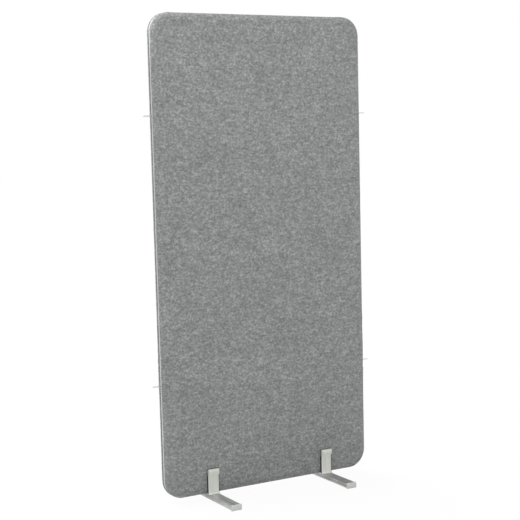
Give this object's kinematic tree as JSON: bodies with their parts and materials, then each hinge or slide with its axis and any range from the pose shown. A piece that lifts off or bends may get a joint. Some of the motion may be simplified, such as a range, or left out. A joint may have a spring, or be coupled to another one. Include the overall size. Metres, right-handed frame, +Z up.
{
  "type": "acoustic divider screen",
  "caption": "Free-standing acoustic divider screen: a tall fabric-covered padded panel with round corners, sliding link pins in its side edges and clamped flat metal feet.",
  "frame": {"origin": "on the floor, under the middle of the panel", "axes": "+X along the panel's width, +Y from front to rear, +Z up"},
  "size_m": [0.86, 0.372, 1.62],
  "materials": {
    "cover_fabric": "mid-grey melange woven wool-look cloth",
    "strip_plastic": "light grey satin",
    "padding_felt": "needled polyester felt",
    "absorber_fibre": "pressed fibre slab",
    "frame_wood": "planed pine",
    "beech": "turned beech",
    "insert_brass": "turned",
    "sleeve_steel": "zinc plated",
    "pin_steel": "bright plated steel",
    "foot_aluminium": "satin anodised",
    "cap_plastic": "light grey satin",
    "lining_rubber": "matt",
    "glide_rubber": "matt",
    "screw_steel": "zinc plated"
  },
  "bodies": {
    "screen": {"frame_stile_left": "frame_wood", "frame_stile_right": "frame_wood", "frame_rail_top": "frame_wood", "frame_rail_middle": "frame_wood", "frame_rail_bottom": "frame_wood", "frame_corner_top_left": "frame_wood", "frame_corner_top_right": "frame_wood", "frame_corner_bottom_left": "frame_wood", "frame_corner_bottom_right": "frame_wood", "frame_dowels": "beech", "rail_inserts": "insert_brass", "absorber_upper": "absorber_fibre", "absorber_lower": "absorber_fibre", "padding_front": "padding_felt", "padding_rear": "padding_felt", "cover_front": "cover_fabric", "cover_rear": "cover_fabric", "edge_strip": "strip_plastic", "link_sleeve_left_upper": "sleeve_steel", "link_sleeve_left_lower": "sleeve_steel", "link_sleeve_right_upper": "sleeve_steel", "link_sleeve_right_lower": "sleeve_steel", "foot_bar_left": "foot_aluminium", "foot_cap_left_front": "cap_plastic", "foot_cap_left_rear": "cap_plastic", "bracket_left_front": "foot_aluminium", "bracket_left_rear": "foot_aluminium", "lining_left_front": "lining_rubber", "lining_left_rear": "lining_rubber", "foot_screws_left": "screw_steel", "glides_left": "glide_rubber", "foot_bar_right": "foot_aluminium", "foot_cap_right_front": "cap_plastic", "foot_cap_right_rear": "cap_plastic", "bracket_right_front": "foot_aluminium", "bracket_right_rear": "foot_aluminium", "lining_right_front": "lining_rubber", "lining_right_rear": "lining_rubber", "foot_screws_right": "screw_steel", "glides_right": "glide_rubber"},
    "pin_left_upper": {"link_pin_left_upper": "pin_steel"},
    "pin_left_lower": {"link_pin_left_lower": "pin_steel"},
    "pin_right_upper": {"link_pin_right_upper": "pin_steel"},
    "pin_right_lower": {"link_pin_right_lower": "pin_steel"}
  },
  "joints": [
    {"name": "slide_left_upper", "type": "slide", "parent": "screen", "child": "pin_left_upper", "axis": [1, 0, 0], "range_m": [0, 0.028]},
    {"name": "slide_left_lower", "type": "slide", "parent": "screen", "child": "pin_left_lower", "axis": [1, 0, 0], "range_m": [0, 0.028]},
    {"name": "slide_right_upper", "type": "slide", "parent": "screen", "child": "pin_right_upper", "axis": [-1, 0, 0], "range_m": [0, 0.028]},
    {"name": "slide_right_lower", "type": "slide", "parent": "screen", "child": "pin_right_lower", "axis": [-1, 0, 0], "range_m": [0, 0.028]}
  ]
}
